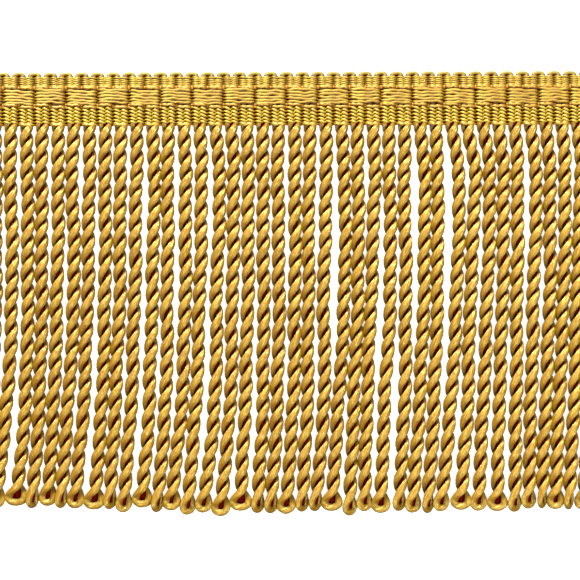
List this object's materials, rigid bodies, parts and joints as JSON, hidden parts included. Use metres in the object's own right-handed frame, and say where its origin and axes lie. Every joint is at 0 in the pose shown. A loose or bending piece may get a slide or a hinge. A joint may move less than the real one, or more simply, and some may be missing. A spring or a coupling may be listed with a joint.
{
  "type": "cord fringe trim",
  "caption": "Length of gold fringe trim lying flat: a ribbed woven heading with a close row of twisted two-ply cords, each ending in a loop.",
  "frame": {"origin": "middle of the woven heading's back, on the surface that the trim lies on", "axes": "+X along the trim, +Y from the cords' loops up to the heading, +Z out of the trim's face"},
  "size_m": [0.2163, 0.1524, 0.0042],
  "materials": {
    "heading_yarn": "satin woven yarn",
    "cord_yarn": "satin twisted yarn"
  },
  "bodies": {
    "root": {"heading": "heading_yarn", "cord_row_1": "cord_yarn", "cord_row_2": "cord_yarn", "cord_row_3": "cord_yarn"}
  },
  "joints": []
}
